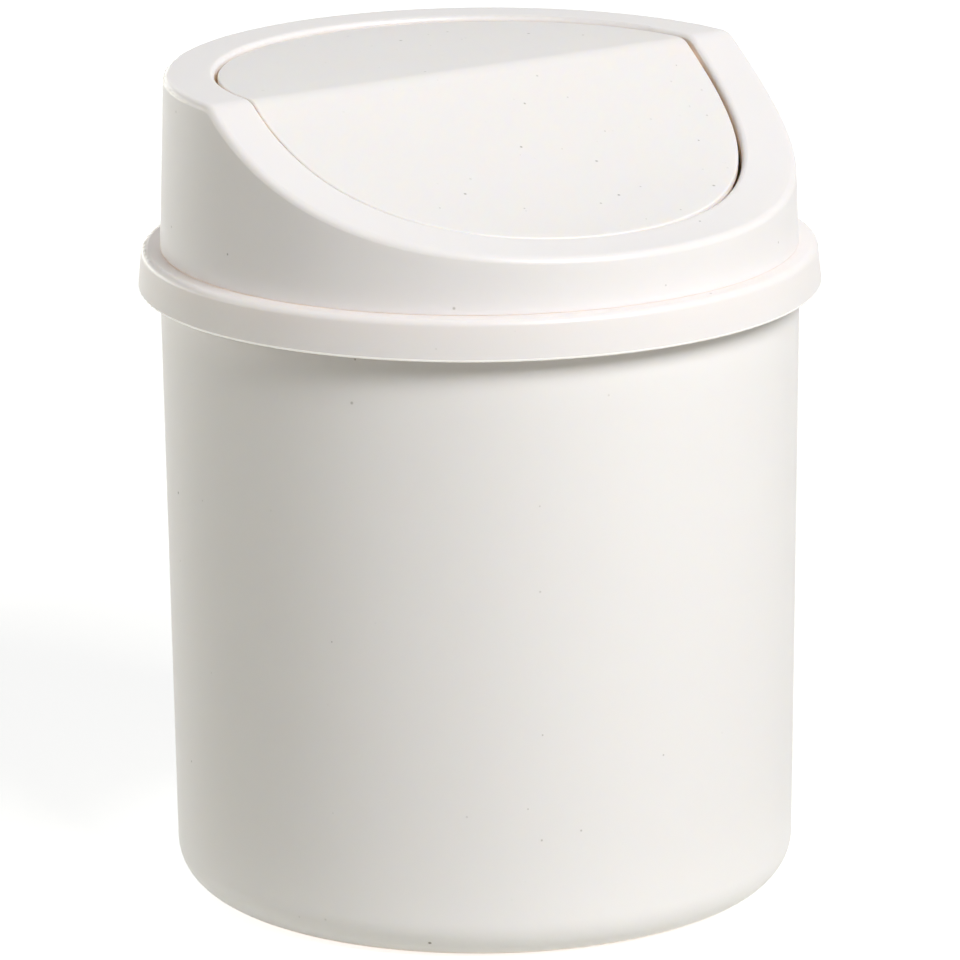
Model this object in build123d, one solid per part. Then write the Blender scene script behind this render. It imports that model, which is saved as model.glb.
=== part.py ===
# Countertop swing-lid bin: a round tapered bucket, a push-on lid with a scooped hood,
# and a flap that swings on two stub pins moulded onto its sides.
# Millimetres. +Z is up, the scooped side of the hood faces -Y, the origin is the
# centre of the foot ring, and the flap's hinge axis runs along X.

from build123d import *

import math
import os

os.makedirs("parts", exist_ok=True)

# ---- driving dimensions: bucket ----
bucket_base_radius = 61.15        # outer wall run down to the table
bucket_draft = 0.012              # radius gained per millimetre of height
bucket_wall = 1.5
bucket_floor = 1.8
bucket_mouth_z = 127.0
bucket_corner_radius = 8.2        # outside, wall to base
foot_ring_width = 3.4
foot_ring_height = 1.2
base_dome_rise = 0.8              # middle of the base, above the foot recess
rim_bead_radius = 64.3
rim_bead_height = 2.4
rim_round = 0.7

# ---- driving dimensions: lid ----
lid_wall = 1.6
skirt_bottom_z = 120.6
skirt_bottom_radius = 66.9
skirt_top_radius = 66.1
skirt_edge_round = 0.5
flange_z = 128.6
flange_round = 1.4
wall_base_radius = 62.45
wall_top_radius = 61.2
crease_size = 0.15                # fine groove where the hood wall stands on the flange
lid_height = 163.0
hood_edge_round = 1.4
ridge_y = 0.8                     # where the flat top turns down into the scoop
scoop_radius = 120.0
scoop_start_angle = 37.5          # fall of the scoop just below the ridge, degrees
ridge_round = 5.0
mouth_radius = 51.3
lip_wall = 1.5
lip_depth = 4.0
lip_round = 1.0

# ---- driving dimensions: hinge ----
hinge_y = 0.22
hinge_z = 157.2
pin_radius = 2.0
pin_clearance = 0.07
pin_tip_chamfer = 0.5
pin_reach = 54.6                  # tip of each pin, from the middle of the lid
ear_radius = 4.3
ear_outer_x = 54.0
ear_ramp_depth = 0.9
ear_ramp_width = 3.2
gusset_wall = 1.2
gusset_spacing = 6.6

# ---- driving dimensions: flap ----
flap_radius = 50.6
flap_wall = 1.6
flap_edge_round = 0.35
flap_drop = 0.45                  # below the flat top of the hood, before the flap tilts
flap_scoop_drop = 1.0             # below the scoop of the hood, square to the surface
flap_rest_tilt = 0.7              # degrees that the back of the flap hangs low at rest
flap_step_depth = 1.2             # edge band above the step
flap_step = 0.6                   # the rim is set in below it, to clear the mouth as it swings
flap_rim_wall = 1.4
flap_rim_depth = 3.0
back_rim_depth = 5.55
back_rim_start_y = 12.0
cheek_radius = 4.4
hinge_rib_wall = 1.4
hinge_rib_bottom_z = 155.2

# ---- values worked out from the above ----
block_reach = 90.0                # larger than the bin, for cutting blocks
scoop_low_y = ridge_y - scoop_radius * math.sin(math.radians(scoop_start_angle))
scoop_low_z = lid_height - scoop_radius * (1 - math.cos(math.radians(scoop_start_angle)))
scoop_centre = (scoop_low_y, scoop_low_z + scoop_radius)
wall_draft = (wall_base_radius - wall_top_radius) / (lid_height - flange_z)


def bucket_radius(z):
    return bucket_base_radius + bucket_draft * z


def revolved(points, radii):
    """Solid of revolution about Z from a closed outline of (radius, z) corners."""
    with BuildSketch(Plane.YZ) as outline:
        with BuildLine():
            FilletPolyline(*points, radius=radii, close=True)
        make_face()
    return revolve(outline.sketch, axis=Axis.Z)


def side_profile(drop, scoop_drop, ridge_fillet):
    """Side view of all that lies below the hood's top line, lowered by drop on the flat
    and by scoop_drop, square to the surface, in the scoop."""
    top_z = lid_height - drop
    arc_radius = scoop_radius + scoop_drop
    ridge_angle = math.acos((scoop_centre[1] - top_z) / arc_radius)
    ridge_corner = (scoop_centre[0] + arc_radius * math.sin(ridge_angle), top_z)
    low = (scoop_centre[0], scoop_centre[1] - arc_radius)
    half_way = (
        scoop_centre[0] + arc_radius * math.sin(ridge_angle / 2),
        scoop_centre[1] - arc_radius * math.cos(ridge_angle / 2),
    )
    with BuildSketch(Plane.YZ) as profile:
        with BuildLine():
            Polyline(
                low,
                (low[0], -block_reach),
                (ridge_corner[0] + block_reach, -block_reach),
                (ridge_corner[0] + block_reach, top_z),
                ridge_corner,
            )
            ThreePointArc(ridge_corner, half_way, low)
        make_face()
        fillet(profile.vertices().sort_by_distance(ridge_corner)[0], ridge_fillet)
    return profile.sketch


def across(profile):
    """A side profile drawn out to both sides of the middle."""
    return extrude(profile, amount=block_reach, both=True)


def cone_block(radius_at, top_z):
    """Round tapered block from well below the lid up to top_z; radius_at gives its wall."""
    low_z = skirt_bottom_z
    points = [(0, low_z), (radius_at(low_z), low_z), (radius_at(top_z), top_z), (0, top_z)]
    return revolved(points, 0)


def hood_block(inset):
    """The hood's outline as a solid, drawn in by inset all round."""
    def radius_at(z):
        return wall_base_radius - wall_draft * (z - flange_z) - inset

    round_block = cone_block(radius_at, lid_height + lid_wall)
    return round_block & across(side_profile(inset, inset, ridge_round - inset))


def tube(inner_radius, outer_radius):
    """Upright tube through the whole height of the lid, or a rod if inner_radius is 0."""
    low_z = skirt_bottom_z - lid_wall
    high_z = lid_height + 2 * lid_wall
    corners = [
        (inner_radius, low_z),
        (outer_radius, low_z),
        (outer_radius, high_z),
        (inner_radius, high_z),
    ]
    return revolved(corners, 0)


def both_sides(solid):
    """The solid and its mirror image across the middle of the bin."""
    return solid + mirror(solid, about=Plane.YZ)


def lobe_profile(radius):
    """Side view of a lug: round below the hinge axis, straight up to the top of the lid."""
    height = lid_height - hinge_z
    with BuildSketch(Plane.YZ) as outline:
        with Locations((hinge_y, hinge_z)):
            Circle(radius)
        with Locations((hinge_y, hinge_z + height / 2)):
            Rectangle(2 * radius, height)
    return outline.sketch


def hinge_rod(radius, x_from, x_to):
    """A round bar on the hinge axis between two distances from the middle."""
    disc = Plane.YZ.offset(x_from) * Pos(hinge_y, hinge_z) * Circle(radius)
    return extrude(disc, amount=x_to - x_from)


# ---- bucket: one turned profile with a rim bead, rounded corner, foot ring and domed base ----
def make_bucket():
    mouth_radius_outer = bucket_radius(bucket_mouth_z)
    bead_bottom_z = bucket_mouth_z - rim_bead_height
    ring_outer = bucket_base_radius - bucket_corner_radius
    ring_inner = ring_outer - foot_ring_width
    dome_edge = ring_inner - foot_ring_width
    inside_z = foot_ring_height + bucket_floor
    wall_corners = [
        (dome_edge, inside_z),
        (bucket_radius(inside_z) - bucket_wall, inside_z),
        (mouth_radius_outer - bucket_wall, bucket_mouth_z),
        (rim_bead_radius, bucket_mouth_z),
        (rim_bead_radius, bead_bottom_z),
        (bucket_radius(bead_bottom_z), bead_bottom_z),
        (bucket_base_radius, 0),
        (ring_inner, 0),
        (ring_inner, foot_ring_height),
        (dome_edge, foot_ring_height),
    ]
    wall_radii = [
        bucket_corner_radius - bucket_wall,
        rim_round / 2,
        rim_round,
        rim_round,
        rim_round,
        bucket_corner_radius,
        rim_round,
        rim_round / 2,
    ]
    dome_radius = (dome_edge**2 + base_dome_rise**2) / (2 * base_dome_rise)
    half_way_fall = dome_radius - math.sqrt(dome_radius**2 - (dome_edge / 2) ** 2)

    def dome(edge_z):
        """Arc from the flat part of the base up to its middle, centred on the bin's axis."""
        top_z = edge_z + base_dome_rise
        ThreePointArc((dome_edge, edge_z), (dome_edge / 2, top_z - half_way_fall), (0, top_z))

    with BuildSketch(Plane.YZ) as outline:
        with BuildLine():
            FilletPolyline(*wall_corners, radius=wall_radii)
            dome(foot_ring_height)
            dome(inside_z)
            Line((0, foot_ring_height + base_dome_rise), (0, inside_z + base_dome_rise))
        make_face()
    return revolve(outline.sketch, axis=Axis.Z)


# ---- lid: scooped hood, flange and skirt in one moulding, with a lipped mouth and hinge ears ----
def make_flange_and_skirt():
    under_z = flange_z - lid_wall
    corners = [
        (wall_base_radius - lid_wall, under_z),
        (skirt_top_radius - lid_wall, under_z),
        (skirt_bottom_radius - lid_wall, skirt_bottom_z),
        (skirt_bottom_radius, skirt_bottom_z),
        (skirt_top_radius, flange_z),
        (wall_base_radius - lid_wall, flange_z),
    ]
    radii = [0, skirt_edge_round, skirt_edge_round, skirt_edge_round, flange_round, 0]
    return revolved(corners, radii)


def make_crease():
    """Ring cut away where the hood wall meets the flange."""
    foot = wall_base_radius - crease_size
    corners = [
        (foot, flange_z),
        (wall_base_radius + crease_size, flange_z),
        (wall_base_radius + crease_size, flange_z + crease_size),
        (foot, flange_z + crease_size),
    ]
    return revolved(corners, 0)


def edges_near(block, radius):
    """Curved edges of the top surface that stand about this far from the middle."""
    near = []
    for edge in block.edges():
        point = edge @ 0.5
        on_radius = abs(math.hypot(point.X, point.Y) - radius) < lid_wall / 2
        if on_radius and point.Z > flange_z and edge.geom_type != GeomType.LINE:
            near.append(edge)
    return near


def rounded_hood():
    """Outer form of the hood with its mouth cut and both top edges rounded."""
    block = hood_block(0)
    block = fillet(edges_near(block, (wall_base_radius + wall_top_radius) / 2), hood_edge_round)
    block -= tube(0, mouth_radius)
    return fillet(edges_near(block, mouth_radius), lip_round)


def make_lip():
    """Band turned down round the mouth, lip_depth deep below the top surface."""
    below = across(side_profile(lip_depth, lip_depth, ridge_round - lip_depth))
    return tube(mouth_radius, mouth_radius + lip_wall) - below


def make_ear():
    """Bearing ear beside the mouth, with two gussets to the hood wall."""
    ear = Pos(mouth_radius - lip_wall, 0, 0) * extrude(
        lobe_profile(ear_radius), amount=ear_outer_x - mouth_radius + lip_wall
    )
    outline = [
        (ear_outer_x - lip_wall, lid_height),
        (wall_base_radius, lid_height),
        (wall_base_radius, hinge_z),
        (ear_outer_x - lip_wall, hinge_z - ear_radius / 2),
    ]
    for side in (-1, 1):
        rib_y = hinge_y + side * gusset_spacing / 2
        with BuildSketch(Plane.XZ.offset(-rib_y)) as rib:
            with BuildLine():
                Polyline(*outline, close=True)
            make_face()
        ear += extrude(rib.sketch, amount=gusset_wall / 2, both=True)
    return both_sides(ear) & hood_block(lid_wall / 2)


def make_pin_path():
    """Bearing holes, and the ramps that lead the pins up into them."""
    hole = hinge_rod(pin_radius + pin_clearance, mouth_radius - lip_wall, ear_outer_x + lip_wall)
    ramp_foot_z = hinge_z - ear_radius - lip_wall
    ramp_outline = [
        (mouth_radius - lip_wall, ramp_foot_z),
        (mouth_radius + ear_ramp_depth, ramp_foot_z),
        (mouth_radius, hinge_z),
        (mouth_radius - lip_wall, hinge_z),
    ]
    with BuildSketch(Plane.XZ.offset(-hinge_y)) as ramp:
        with BuildLine():
            Polyline(*ramp_outline, close=True)
        make_face()
    ramp_block = extrude(ramp.sketch, amount=ear_ramp_width / 2, both=True)
    return both_sides(hole + ramp_block)


def make_lid():
    cavity = hood_block(lid_wall) - make_lip()
    lid = rounded_hood() - cavity
    lid -= Pos(0, 0, skirt_bottom_z) * Box(
        2 * block_reach, 2 * block_reach, 2 * (flange_z - lid_wall - skirt_bottom_z)
    )
    lid += make_flange_and_skirt()
    lid -= make_crease()
    lid += make_ear() - tube(0, mouth_radius)
    lid -= make_pin_path()
    return lid


# ---- flap: thin dished plate with a turned-down rim, hinge cheeks, pins and a cross rib ----
def tilted(profile):
    """A side view turned about the hinge axis into the flap's rest position."""
    return Pos(0, hinge_y, hinge_z) * Rot(-flap_rest_tilt, 0, 0) * Pos(0, -hinge_y, -hinge_z) * profile


def flap_profile(depth):
    """Side view of all that lies deeper than this below the flap's top surface."""
    return tilted(side_profile(flap_drop + depth, flap_scoop_drop + depth, ridge_round - depth))


def flap_block(inset, depth):
    return tube(0, flap_radius - inset) & across(flap_profile(depth))


def rim_floor_block():
    """All that lies below the flap's rim: shallow in front, lugs at the hinge, deep behind."""
    top_z = lid_height - flap_drop
    back_low_z = top_z - back_rim_depth
    with BuildSketch(Plane.YZ) as back_rim:
        with BuildLine():
            Polyline(
                (back_rim_start_y, top_z),
                (back_rim_start_y + back_rim_depth, back_low_z),
                (block_reach, back_low_z),
                (block_reach, top_z),
                close=True,
            )
        make_face()
    below = flap_profile(flap_rim_depth)
    return across(below - lobe_profile(cheek_radius) - back_rim.sketch)


def make_flap():
    outer = flap_block(0, 0)
    rim_radius = flap_radius - flap_step
    flap = fillet(edges_near(outer, flap_radius), flap_edge_round)
    flap -= flap_block(flap_step + flap_rim_wall, flap_wall)
    flap -= tube(rim_radius, flap_radius + flap_step) & across(flap_profile(flap_step_depth))
    flap -= rim_floor_block()
    rib_height = lid_height - hinge_rib_bottom_z
    rib_reach = rim_radius - flap_rim_wall / 2
    rib = Pos(0, hinge_y, hinge_rib_bottom_z + rib_height / 2) * Box(
        2 * rib_reach, hinge_rib_wall, rib_height
    )
    flap += rib & flap_block(flap_radius - rib_reach, flap_wall / 2)
    pin = hinge_rod(pin_radius, rib_reach, pin_reach)
    pin = chamfer(pin.edges().sort_by(Axis.X)[-1], pin_tip_chamfer)
    return flap + both_sides(pin)


parts = {
    "bin_bucket": make_bucket(),
    "swing_lid_hood": make_lid(),
    "swing_flap": make_flap(),
}
for name, solid in parts.items():
    export_step(solid, f"parts/{name}.step")
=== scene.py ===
import math

import bmesh
import bpy
from mathutils import Matrix, Vector


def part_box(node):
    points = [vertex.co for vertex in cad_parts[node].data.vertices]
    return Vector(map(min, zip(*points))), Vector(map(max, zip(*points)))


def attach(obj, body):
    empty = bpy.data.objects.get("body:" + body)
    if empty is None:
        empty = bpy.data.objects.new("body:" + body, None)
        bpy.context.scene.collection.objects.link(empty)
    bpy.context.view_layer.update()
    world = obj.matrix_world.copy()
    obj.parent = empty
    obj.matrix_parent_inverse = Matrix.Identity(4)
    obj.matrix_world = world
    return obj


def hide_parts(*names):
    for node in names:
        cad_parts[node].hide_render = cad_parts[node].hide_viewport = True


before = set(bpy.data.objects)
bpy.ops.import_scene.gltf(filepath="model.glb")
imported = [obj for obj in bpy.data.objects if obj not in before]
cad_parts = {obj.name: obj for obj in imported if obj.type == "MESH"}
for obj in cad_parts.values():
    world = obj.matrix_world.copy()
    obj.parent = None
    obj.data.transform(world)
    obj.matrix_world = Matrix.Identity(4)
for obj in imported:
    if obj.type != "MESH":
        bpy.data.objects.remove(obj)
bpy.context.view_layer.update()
mm = 0.001

scene = bpy.context.scene
scene.view_settings.view_transform = "Standard"

camera = {
    "turn": -33.726,         # degrees round the bin, 0 looks along +Y
    "rise": 15.045,          # degrees above level
    "roll": -0.541,
    "lens": 267.5,
    "distance": 1408 * mm,
    "aimHeight": 80 * mm,
    "aimAside": -0.34 * mm,  # to the camera's right
    "clip": (0.05, 30),
}


def directionFrom(turn, rise):
    t, r = math.radians(turn), math.radians(rise)
    return Vector((math.sin(t) * math.cos(r), -math.cos(t) * math.cos(r), math.sin(r)))


def makeCamera(c):
    turn = math.radians(c["turn"])
    middle = Vector((0, 0, c["aimHeight"]))
    aim = middle + Vector((math.cos(turn), math.sin(turn), 0)) * c["aimAside"]
    data = bpy.data.cameras.new("viewCamera")
    data.lens = c["lens"]
    data.clip_start, data.clip_end = c["clip"]
    rig = bpy.data.objects.new("viewCamera", data)
    scene.collection.objects.link(rig)
    rig.location = middle + directionFrom(c["turn"], c["rise"]) * c["distance"]
    roll = Matrix.Rotation(math.radians(c["roll"]), 3, "Z").to_quaternion()
    rig.rotation_mode = "QUATERNION"
    rig.rotation_quaternion = (aim - rig.location).to_track_quat("-Z", "Y") @ roll
    scene.camera = rig


makeCamera(camera)
print("camera set")


def addNode(tree, kind, **settings):
    node = tree.nodes.new(kind)
    for key, value in settings.items():
        setattr(node, key, value)
    return node


def maths(tree, operation, a, b, clamp=False):
    # a and b are sockets or plain numbers
    node = addNode(tree, "ShaderNodeMath", operation=operation, use_clamp=clamp)
    for socket, value in zip(node.inputs, (a, b)):
        if isinstance(value, bpy.types.NodeSocket):
            tree.links.new(value, socket)
        else:
            socket.default_value = value
    return node.outputs[0]


studio = {
    "floorRadius": 4.0,
    "floorSides": 96,
    "cardColor": (0.70, 0.70, 0.65, 1),          # a paler card right under the bin
    "floorColor": (0.47, 0.46, 0.41, 1),
    "cardFade": (0.062, 0.10),                   # radii between which it turns into the floor
    "floorLift": 0.8,                            # seen by the camera and in reflections only
    "floorLiftColor": (0.965, 0.975, 1.0, 1),
    "shadowReach": (0.4, 0.9),                   # radii between which the lift grows to 1
    "seenColor": (1, 1, 1, 1),                   # the world behind the floor
    "worldLight": 0.12,
    "worldColor": (1.0, 0.97, 0.86, 1),
    "lampDistance": 1.6,
    "lamps": {
        # name: (degrees round the bin from the camera, rise, width, height, watts, color)
        "key": (39, 40, 0.75, 0.6, 24.3, (1, 1, 1)),
        "backLow": (-150, 4, 1.2, 0.5, 5.9, (1.0, 0.995, 0.93)),
        "backSide": (-120, 4, 0.6, 0.5, 3.4, (1.0, 0.995, 0.93)),
        "leftSide": (-90, 12, 0.5, 1.0, 5.4, (1.0, 0.995, 0.93)),
        "rightEdge": (100, 12, 0.8, 1.0, 0.9, (1, 1, 1)),
        "topBack": (180, 45, 1.2, 1.2, 2.3, (1, 1, 1)),
    },
}


def onlyDirectSight(tree):
    # 1 where the camera, a mirror reflection or clear plastic sees the surface, else 0
    rays = addNode(tree, "ShaderNodeLightPath").outputs
    shiny = maths(tree, "MAXIMUM", rays["Is Glossy Ray"], rays["Is Transmission Ray"])
    return maths(tree, "MAXIMUM", rays["Is Camera Ray"], shiny)


def makeWorld(s):
    world = bpy.data.worlds.new("paleStudio")
    world.use_nodes = True
    tree = world.node_tree
    tree.nodes.clear()
    light = addNode(tree, "ShaderNodeBackground")
    light.inputs["Color"].default_value = s["worldColor"]
    light.inputs["Strength"].default_value = s["worldLight"]
    seen = addNode(tree, "ShaderNodeBackground")
    seen.inputs["Color"].default_value = s["seenColor"]
    seen.inputs["Strength"].default_value = 1
    mix = addNode(tree, "ShaderNodeMixShader")
    tree.links.new(onlyDirectSight(tree), mix.inputs[0])
    tree.links.new(light.outputs[0], mix.inputs[1])
    tree.links.new(seen.outputs[0], mix.inputs[2])
    tree.links.new(mix.outputs[0], addNode(tree, "ShaderNodeOutputWorld").inputs[0])
    scene.world = world


def makeFloor(s):
    bm = bmesh.new()
    bmesh.ops.create_circle(
        bm, cap_ends=True, segments=s["floorSides"], radius=s["floorRadius"])
    mesh = bpy.data.meshes.new("paleFloor")
    bm.to_mesh(mesh)
    bm.free()
    floor = bpy.data.objects.new("paleFloor", mesh)
    scene.collection.objects.link(floor)
    material = bpy.data.materials.new("paleFloor")
    material.use_nodes = True
    tree = material.node_tree
    tree.nodes.clear()
    matt = addNode(tree, "ShaderNodeBsdfDiffuse")
    away = addNode(tree, "ShaderNodeVectorMath", operation="LENGTH")
    tree.links.new(addNode(tree, "ShaderNodeTexCoord").outputs["Object"], away.inputs[0])
    fade = addNode(tree, "ShaderNodeMapRange", interpolation_type="SMOOTHSTEP")
    tree.links.new(away.outputs["Value"], fade.inputs["Value"])
    fade.inputs["From Min"].default_value, fade.inputs["From Max"].default_value = s["cardFade"]
    pale = addNode(tree, "ShaderNodeMix", data_type="RGBA")
    tree.links.new(fade.outputs[0], pale.inputs["Factor"])
    pale.inputs["A"].default_value = s["cardColor"]
    pale.inputs["B"].default_value = s["floorColor"]
    tree.links.new(pale.outputs["Result"], matt.inputs["Color"])

    glow = addNode(tree, "ShaderNodeEmission")
    glow.inputs["Color"].default_value = s["floorLiftColor"]
    far = addNode(tree, "ShaderNodeMapRange")
    tree.links.new(away.outputs["Value"], far.inputs["Value"])
    far.inputs["From Min"].default_value, far.inputs["From Max"].default_value = s["shadowReach"]
    far.inputs["To Min"].default_value = s["floorLift"]
    lift = maths(tree, "MULTIPLY", onlyDirectSight(tree), far.outputs[0])
    tree.links.new(lift, glow.inputs["Strength"])
    add = addNode(tree, "ShaderNodeAddShader")
    tree.links.new(matt.outputs[0], add.inputs[0])
    tree.links.new(glow.outputs[0], add.inputs[1])
    tree.links.new(add.outputs[0], addNode(tree, "ShaderNodeOutputMaterial").inputs[0])
    mesh.materials.append(material)


def makeLamps(s, fromTurn):
    middle = Vector((0, 0, camera["aimHeight"]))
    for name, (turn, rise, width, height, watts, color) in s["lamps"].items():
        data = bpy.data.lights.new(name, "AREA")
        data.shape = "RECTANGLE"
        data.size, data.size_y = width, height
        data.energy = watts
        data.color = color
        lamp = bpy.data.objects.new(name, data)
        scene.collection.objects.link(lamp)
        lamp.visible_camera = False
        lamp.location = middle + directionFrom(fromTurn + turn, rise) * s["lampDistance"]
        lamp.rotation_mode = "QUATERNION"
        lamp.rotation_quaternion = (middle - lamp.location).to_track_quat("-Z", "Y")


makeWorld(studio)
makeFloor(studio)
makeLamps(studio, camera["turn"])
print("studio lit")

# bin_bucket, swing_lid_hood and swing_flap are one family of satin off-white mouldings
plastics = {
    "bucketPlastic": {
        "color": (0.890, 0.873, 0.872, 1), "shadeColor": (0.878, 0.859, 0.856, 1),
        "roughness": 0.46, "grainDepth": 0.010 * mm, "waveDepth": 0.06 * mm,
        "speckSpacing": 2.5 * mm, "speckShare": 0.34, "seed": 3.0,
        "throughShare": 0.3, "throughDepth": 1.0 * mm,
    },
    "hoodPlastic": {
        "color": (0.862, 0.832, 0.830, 1), "shadeColor": (0.850, 0.819, 0.815, 1),
        "roughness": 0.36, "grainDepth": 0.006 * mm, "waveDepth": 0.05 * mm,
        "speckSpacing": 2.6 * mm, "speckShare": 0.30, "seed": 11.0,
        "paintedEdgeHighlight": {                    # painted highlight: a glowing line round the foot of the skirt
            "height": 120.86 * mm, "reach": 0.34 * mm, "soft": 0.14 * mm,
            "glow": (0.29, 0.286, 0.27),
        },
        "throughShare": 0.4, "throughDepth": 2.2 * mm,
    },
    "flapPlastic": {
        "color": (0.850, 0.823, 0.815, 1), "shadeColor": (0.839, 0.811, 0.801, 1),
        "roughness": 0.40, "grainDepth": 0.006 * mm, "waveDepth": 0.05 * mm,
        "speckSpacing": 2.0 * mm, "speckShare": 0.55, "seed": 19.0,
        "throughShare": 1.0, "throughDepth": 1.6 * mm,
    },
}

finish = {
    "ior": 1.49,
    # noise layers: (size, detail, roughness, shift of the piece's seed)
    "mottle": (34 * mm, 3, 0.5, 0),
    "smudge": (9 * mm, 4, 0.6, 5),
    "grain": (0.45 * mm, 2, 0.5, 9),
    "wave": (26 * mm, 1, 0.5, 14),
    "smudgeRoughness": 0.05,
    "speckRadius": (0.10 * mm, 0.30 * mm),
    "speckSoftness": 1.5,            # in radii, where a speck has faded out
    "speckColor": (0.22, 0.20, 0.16, 1),
    "throughTint": (1.0, 0.84, 0.62),
    # painted glow in narrow gaps: emission where ambient occlusion finds walls close by
    "gapWidth": 2.5 * mm,
    "gapSamples": 8,
    "gapTightness": 4,               # the higher, the less painted glow a plain inside corner gets
    "paintedGapGlow": (0.18, 0.09, 0.015),
}


def noiseField(tree, place, layer, seed):
    size, detail, roughness, shift = layer
    noise = addNode(tree, "ShaderNodeTexNoise", noise_dimensions="4D")
    tree.links.new(place, noise.inputs["Vector"])
    noise.inputs["W"].default_value = seed + shift
    noise.inputs["Scale"].default_value = 1 / size
    noise.inputs["Detail"].default_value = detail
    noise.inputs["Roughness"].default_value = roughness
    return noise.outputs["Fac"]


def speckMask(tree, place, p, f):
    # dark grains of dust moulded in: small balls round scattered points, most of them left out
    cells = addNode(tree, "ShaderNodeTexVoronoi", voronoi_dimensions="4D", feature="F1")
    tree.links.new(place, cells.inputs["Vector"])
    cells.inputs["W"].default_value = p["seed"]
    cells.inputs["Scale"].default_value = 1 / p["speckSpacing"]
    parts = addNode(tree, "ShaderNodeSeparateColor")
    tree.links.new(cells.outputs["Color"], parts.inputs[0])
    kept = maths(tree, "LESS_THAN", parts.outputs[0], p["speckShare"])
    small, large = f["speckRadius"]
    radius = addNode(tree, "ShaderNodeMapRange")
    tree.links.new(parts.outputs[1], radius.inputs["Value"])
    radius.inputs["To Min"].default_value = small / p["speckSpacing"]
    radius.inputs["To Max"].default_value = large / p["speckSpacing"]
    nearness = maths(tree, "DIVIDE", cells.outputs["Distance"], radius.outputs[0])
    soft = maths(tree, "SUBTRACT", f["speckSoftness"], nearness, clamp=True)
    faint = maths(tree, "MULTIPLY", parts.outputs[2], kept)
    return maths(tree, "MULTIPLY", soft, faint)


def paintedGlowAndHighlight(tree, place, p, f):
    # painted light: a warm painted glow in narrow gaps, where ambient occlusion finds walls
    # close by, and a pale painted highlight along a thin edge
    opened = addNode(tree, "ShaderNodeAmbientOcclusion", samples=f["gapSamples"])
    opened.inputs["Distance"].default_value = f["gapWidth"]
    closed = maths(tree, "SUBTRACT", 1, opened.outputs["AO"], clamp=True)
    gapGlowMask = maths(tree, "POWER", closed, f["gapTightness"])
    glow = addNode(tree, "ShaderNodeVectorMath", operation="SCALE")
    glow.inputs[0].default_value = f["paintedGapGlow"]
    tree.links.new(gapGlowMask, glow.inputs["Scale"])
    if "paintedEdgeHighlight" not in p:
        return glow.outputs[0]
    edge = p["paintedEdgeHighlight"]
    height = addNode(tree, "ShaderNodeSeparateXYZ")
    tree.links.new(place, height.inputs[0])
    above = maths(tree, "SUBTRACT", height.outputs["Z"], edge["height"])
    away = maths(tree, "ABSOLUTE", above, 0)
    within = maths(tree, "SUBTRACT", edge["reach"], away)
    near = maths(tree, "DIVIDE", within, edge["soft"], clamp=True)
    line = addNode(tree, "ShaderNodeVectorMath", operation="SCALE")
    line.inputs[0].default_value = edge["glow"]
    tree.links.new(near, line.inputs["Scale"])
    both = addNode(tree, "ShaderNodeVectorMath", operation="ADD")
    tree.links.new(glow.outputs[0], both.inputs[0])
    tree.links.new(line.outputs[0], both.inputs[1])
    return both.outputs[0]


def makePlastic(name, p, f):
    material = bpy.data.materials.new(name)
    material.use_nodes = True
    tree = material.node_tree
    shader = tree.nodes["Principled BSDF"]
    place = addNode(tree, "ShaderNodeTexCoord").outputs["Object"]

    mottle = addNode(tree, "ShaderNodeMix", data_type="RGBA")
    tree.links.new(noiseField(tree, place, f["mottle"], p["seed"]), mottle.inputs["Factor"])
    mottle.inputs["A"].default_value = p["shadeColor"]
    mottle.inputs["B"].default_value = p["color"]
    specked = addNode(tree, "ShaderNodeMix", data_type="RGBA")
    tree.links.new(speckMask(tree, place, p, f), specked.inputs["Factor"])
    tree.links.new(mottle.outputs["Result"], specked.inputs["A"])
    specked.inputs["B"].default_value = f["speckColor"]
    tree.links.new(specked.outputs["Result"], shader.inputs["Base Color"])

    smudge = noiseField(tree, place, f["smudge"], p["seed"])
    roughness = addNode(tree, "ShaderNodeMapRange")
    tree.links.new(smudge, roughness.inputs["Value"])
    roughness.inputs["To Min"].default_value = p["roughness"] - f["smudgeRoughness"]
    roughness.inputs["To Max"].default_value = p["roughness"] + f["smudgeRoughness"]
    tree.links.new(roughness.outputs[0], shader.inputs["Roughness"])

    grain = addNode(tree, "ShaderNodeBump")
    grain.inputs["Distance"].default_value = p["grainDepth"]
    tree.links.new(noiseField(tree, place, f["grain"], p["seed"]), grain.inputs["Height"])
    wave = addNode(tree, "ShaderNodeBump")
    wave.inputs["Distance"].default_value = p["waveDepth"]
    tree.links.new(noiseField(tree, place, f["wave"], p["seed"]), wave.inputs["Height"])
    tree.links.new(wave.outputs[0], grain.inputs["Normal"])
    tree.links.new(grain.outputs[0], shader.inputs["Normal"])

    # painted light as emission: a glow in the gaps and a highlight along the skirt's foot
    tree.links.new(paintedGlowAndHighlight(tree, place, p, f), shader.inputs["Emission Color"])
    shader.inputs["Emission Strength"].default_value = 1
    shader.inputs["IOR"].default_value = f["ior"]
    shader.inputs["Subsurface Weight"].default_value = p["throughShare"]
    shader.inputs["Subsurface Scale"].default_value = p["throughDepth"]
    shader.inputs["Subsurface Radius"].default_value = f["throughTint"]
    return material


madeOf = {name: makePlastic(name, p, finish) for name, p in plastics.items()}
print("plastics mixed")

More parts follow.
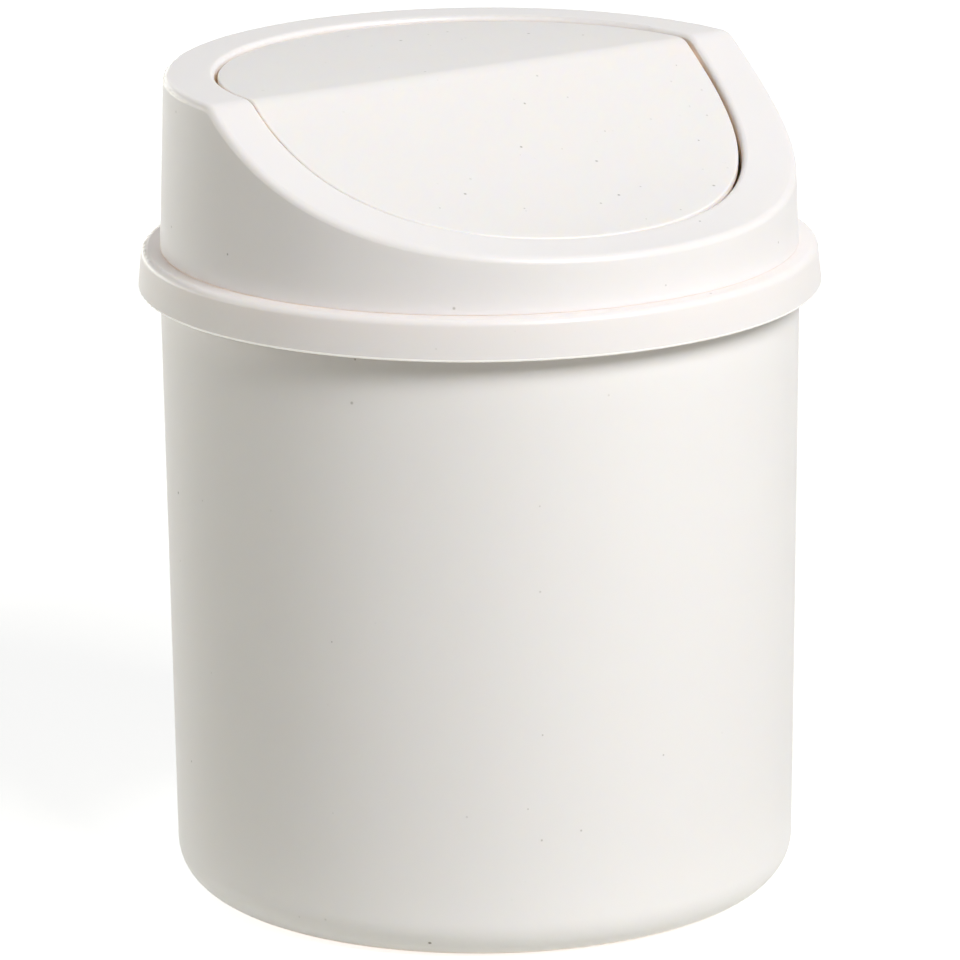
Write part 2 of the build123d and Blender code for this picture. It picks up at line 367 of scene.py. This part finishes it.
# the bucket is one section turned round its axis; heights run up from the table
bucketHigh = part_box("bin_bucket")[1]
bucket = {
    "mouthHeight": bucketHigh.z,
    "rimRadius": bucketHigh.x,
    "rimDepth": 2.4 * mm,
    "baseRadius": 61.15 * mm,        # the outer wall run down to the table
    "draft": 0.012,                  # radius gained per height
    "wall": 1.5 * mm,
    "floor": 1.8 * mm,
    "baseRound": 8.2 * mm,
    "footWidth": 3.4 * mm,
    "footHeight": 1.2 * mm,
    "domeRise": 0.8 * mm,            # the middle of the floor stands this much higher
    "edgeRound": 0.7 * mm,
    "fineRound": 0.35 * mm,
    "turnSteps": 240,
    "roundSteps": 12,
    "longestStep": 4 * mm,           # between two rings of points
    "mergeDistance": 0.002 * mm,
}


def bucketSection(b):
    # (radius, height, corner rounding), from the middle of the floor over the rim and back
    # under the foot
    def wallRadius(height):
        return b["baseRadius"] + b["draft"] * height

    mouth = b["mouthHeight"]
    rimFoot = mouth - b["rimDepth"]
    footOut = b["baseRadius"] - b["baseRound"]
    footIn = footOut - b["footWidth"]
    domeEdge = footIn - b["footWidth"]
    under, inside = b["footHeight"], b["footHeight"] + b["floor"]
    rise, edge, fine = b["domeRise"], b["edgeRound"], b["fineRound"]
    domeRound = (domeEdge ** 2 + rise ** 2) / (2 * rise)
    return [
        (0, inside + rise, 0),
        (domeEdge / 2, inside + rise, domeRound),
        (domeEdge, inside, fine),
        (wallRadius(inside) - b["wall"], inside, b["baseRound"] - b["wall"]),
        (wallRadius(mouth) - b["wall"], mouth, fine),
        (b["rimRadius"], mouth, edge),
        (b["rimRadius"], rimFoot, edge),
        (wallRadius(rimFoot), rimFoot, edge),
        (b["baseRadius"], 0, b["baseRound"]),
        (footIn, 0, edge),
        (footIn, under, fine),
        (domeEdge, under, fine),
        (domeEdge / 2, under + rise, domeRound),
        (0, under + rise, 0),
    ]


def sectionLine(name, section, ringRadius):
    # a flat line of points, measured from the ring that it will ride round;
    # its Y points down there
    mesh = bpy.data.meshes.new(name)
    points = [(radius - ringRadius, -height, 0) for radius, height, rounding in section]
    mesh.from_pydata(points, [(i, i + 1) for i in range(len(points) - 1)], [])
    rounding = mesh.attributes.new("rounding", "FLOAT", "POINT")
    rounding.data.foreach_set("value", [point[2] for point in section])
    line = bpy.data.objects.new(name, mesh)
    scene.collection.objects.link(line)
    return line


def turningTree(mergeDistance):
    # rounds the corners of a section, divides its long runs and turns it round the Z axis
    tree = bpy.data.node_groups.new("turnedMoulding", "GeometryNodeTree")
    link = tree.links.new
    for name, kind in (
        ("Section", "NodeSocketGeometry"),
        ("Ring Radius", "NodeSocketFloat"),
        ("Turn Steps", "NodeSocketInt"),
        ("Round Steps", "NodeSocketInt"),
        ("Longest Step", "NodeSocketFloat"),
        ("Plastic", "NodeSocketMaterial"),
    ):
        tree.interface.new_socket(name=name, in_out="INPUT", socket_type=kind)
    tree.interface.new_socket(name="Moulding", in_out="OUTPUT", socket_type="NodeSocketGeometry")
    given = addNode(tree, "NodeGroupInput").outputs

    line = addNode(tree, "GeometryNodeMeshToCurve")
    link(given["Section"], line.inputs["Mesh"])
    rounding = addNode(tree, "GeometryNodeInputNamedAttribute", data_type="FLOAT")
    rounding.inputs["Name"].default_value = "rounding"
    rounded = addNode(tree, "GeometryNodeFilletCurve", mode="POLY")
    link(line.outputs["Curve"], rounded.inputs["Curve"])
    link(given["Round Steps"], rounded.inputs["Count"])
    link(rounding.outputs["Attribute"], rounded.inputs["Radius"])

    here = addNode(tree, "GeometryNodeInputPosition").outputs["Position"]
    index = addNode(tree, "GeometryNodeInputIndex").outputs["Index"]
    ahead = addNode(tree, "GeometryNodeFieldAtIndex", data_type="FLOAT_VECTOR", domain="POINT")
    link(maths(tree, "ADD", index, 1), ahead.inputs["Index"])
    link(here, ahead.inputs["Value"])
    run = addNode(tree, "ShaderNodeVectorMath", operation="DISTANCE")
    link(here, run.inputs[0])
    link(ahead.outputs["Value"], run.inputs[1])
    steps = maths(tree, "DIVIDE", run.outputs["Value"], given["Longest Step"])
    divided = addNode(tree, "GeometryNodeSubdivideCurve")
    link(rounded.outputs["Curve"], divided.inputs["Curve"])
    link(maths(tree, "FLOOR", steps, 0), divided.inputs["Cuts"])

    ring = addNode(tree, "GeometryNodeCurvePrimitiveCircle", mode="RADIUS")
    link(given["Turn Steps"], ring.inputs["Resolution"])
    link(given["Ring Radius"], ring.inputs["Radius"])
    turned = addNode(tree, "GeometryNodeCurveToMesh")
    link(ring.outputs["Curve"], turned.inputs["Curve"])
    link(divided.outputs["Curve"], turned.inputs["Profile Curve"])
    joined = addNode(tree, "GeometryNodeMergeByDistance")
    link(turned.outputs["Mesh"], joined.inputs["Geometry"])
    joined.inputs["Distance"].default_value = mergeDistance
    smooth = addNode(tree, "GeometryNodeSetShadeSmooth")
    link(joined.outputs["Geometry"], smooth.inputs["Geometry"])
    whole = addNode(tree, "GeometryNodeRealizeInstances")
    link(smooth.outputs["Geometry"], whole.inputs["Geometry"])
    coated = addNode(tree, "GeometryNodeSetMaterial")
    link(whole.outputs["Geometry"], coated.inputs["Geometry"])
    link(given["Plastic"], coated.inputs["Material"])
    link(coated.outputs["Geometry"], addNode(tree, "NodeGroupOutput").inputs["Moulding"])
    return tree


def grow(source, tree, values, name):
    # runs the tree on the source and keeps the result as a plain mesh
    maker = source.modifiers.new("maker", "NODES")
    maker.node_group = tree
    for socket in tree.interface.items_tree:
        if socket.name in values:
            maker[socket.identifier] = values[socket.name]
    graph = bpy.context.evaluated_depsgraph_get()
    mesh = bpy.data.meshes.new_from_object(source.evaluated_get(graph), depsgraph=graph)
    mesh.name = name
    bpy.data.objects.remove(source)
    piece = bpy.data.objects.new(name, mesh)
    scene.collection.objects.link(piece)
    return piece


def faceOut(mesh):
    bm = bmesh.new()
    bm.from_mesh(mesh)
    bmesh.ops.recalc_face_normals(bm, faces=bm.faces)
    if bm.calc_volume(signed=True) < 0:
        bmesh.ops.reverse_faces(bm, faces=bm.faces)
    bm.to_mesh(mesh)
    bm.free()


def makeBucket(b):
    line = sectionLine("bucketSection", bucketSection(b), b["baseRadius"])
    shell = grow(line, turningTree(b["mergeDistance"]), {
        "Ring Radius": b["baseRadius"],
        "Turn Steps": b["turnSteps"],
        "Round Steps": b["roundSteps"],
        "Longest Step": b["longestStep"],
        "Plastic": madeOf["bucketPlastic"],
    }, "bucketShell")
    faceOut(shell.data)
    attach(shell, "bucket")
    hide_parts("bin_bucket")
    return shell


bucketShell = makeBucket(bucket)
print("bucket turned:", len(bucketShell.data.polygons), "faces")


def coat(node, plastic):
    # the solid keeps its shape and takes the moulding's finish
    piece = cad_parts[node]
    piece.data.materials.clear()
    piece.data.materials.append(madeOf[plastic])


coat("swing_lid_hood", "hoodPlastic")
coat("swing_flap", "flapPlastic")
print("lid and flap coated")
